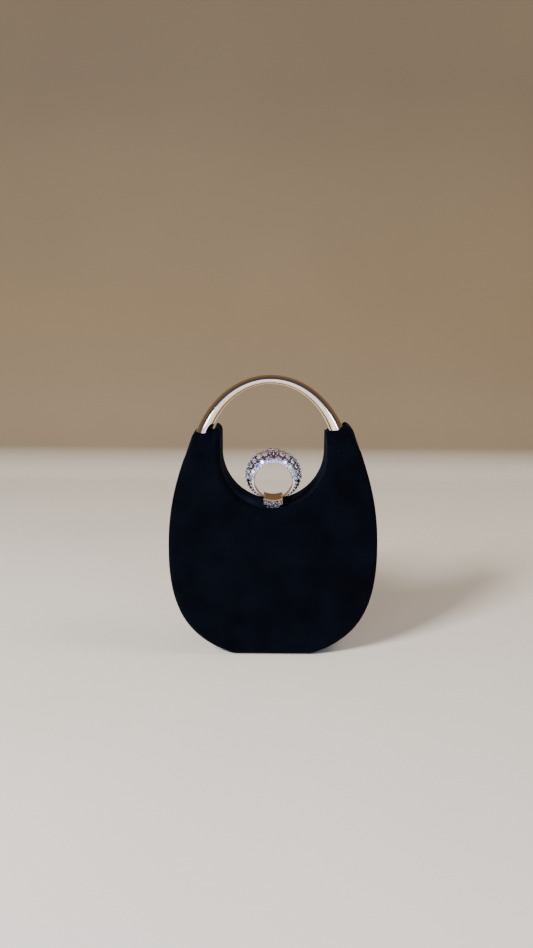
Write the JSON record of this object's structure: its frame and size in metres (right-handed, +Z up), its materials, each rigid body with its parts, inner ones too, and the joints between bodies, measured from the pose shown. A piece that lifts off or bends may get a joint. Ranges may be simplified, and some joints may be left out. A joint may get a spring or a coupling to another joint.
{
  "type": "clutch purse",
  "caption": "Hard-shell velvet clutch purse with a U-shaped mouth, rigid metal bow handle, bottom-hinged front shell and a finger-ring clasp.",
  "frame": {"origin": "middle of the flat base that the purse stands on", "axes": "+Z up, +X to the right seen from the front, the front faces -Y; the two shells part on the plane y = 0"},
  "size_m": [0.145, 0.038, 0.1972],
  "materials": {
    "velvet": "short cut-pile velvet, black with a navy cast",
    "case_plastic": "moulded, matt",
    "lining_satin": "smooth satin lining",
    "champagne_metal": "polished, champagne rose-gold plating",
    "jewel_metal": "plated casting that carries rows of clear stones",
    "steel": "plain"
  },
  "bodies": {
    "back_shell": {"back_cover": "velvet", "back_case": "case_plastic", "back_lining": "lining_satin", "back_frame": "champagne_metal", "hinge_leaf_back": "steel", "hinge_pin": "steel", "hinge_screw_back_left": "steel", "hinge_screw_back_right": "steel", "handle": "champagne_metal", "handle_bracket_left": "steel", "handle_bracket_right": "steel", "handle_screw_left": "steel", "handle_screw_right": "steel", "bracket_screw_left": "steel", "bracket_screw_right": "steel", "clasp_bracket": "champagne_metal", "clasp_pin": "steel", "clasp_screw_left": "steel", "clasp_screw_right": "steel"},
    "front_shell": {"front_cover": "velvet", "front_case": "case_plastic", "front_lining": "lining_satin", "front_frame": "champagne_metal", "hinge_leaf_front": "steel", "hinge_screw_front_left": "steel", "hinge_screw_front_right": "steel", "catch_plate": "champagne_metal", "catch_rivet_left": "steel", "catch_rivet_right": "steel"},
    "clasp": {"ring_clasp": "jewel_metal", "clasp_spring": "steel"}
  },
  "joints": [
    {"name": "front_shell_hinge", "type": "hinge", "parent": "back_shell", "child": "front_shell", "pos_m": [0, 0, 0.00165], "axis": [1, 0, 0], "range_deg": [0, 60]},
    {"name": "clasp_hinge", "type": "hinge", "parent": "back_shell", "child": "clasp", "pos_m": [0, 0.005, 0.1112], "axis": [-1, 0, 0], "range_deg": [0, 24], "stiffness_Nm_per_rad": 0.02, "springref_deg": -11.46, "deforming": ["clasp_spring"]}
  ]
}
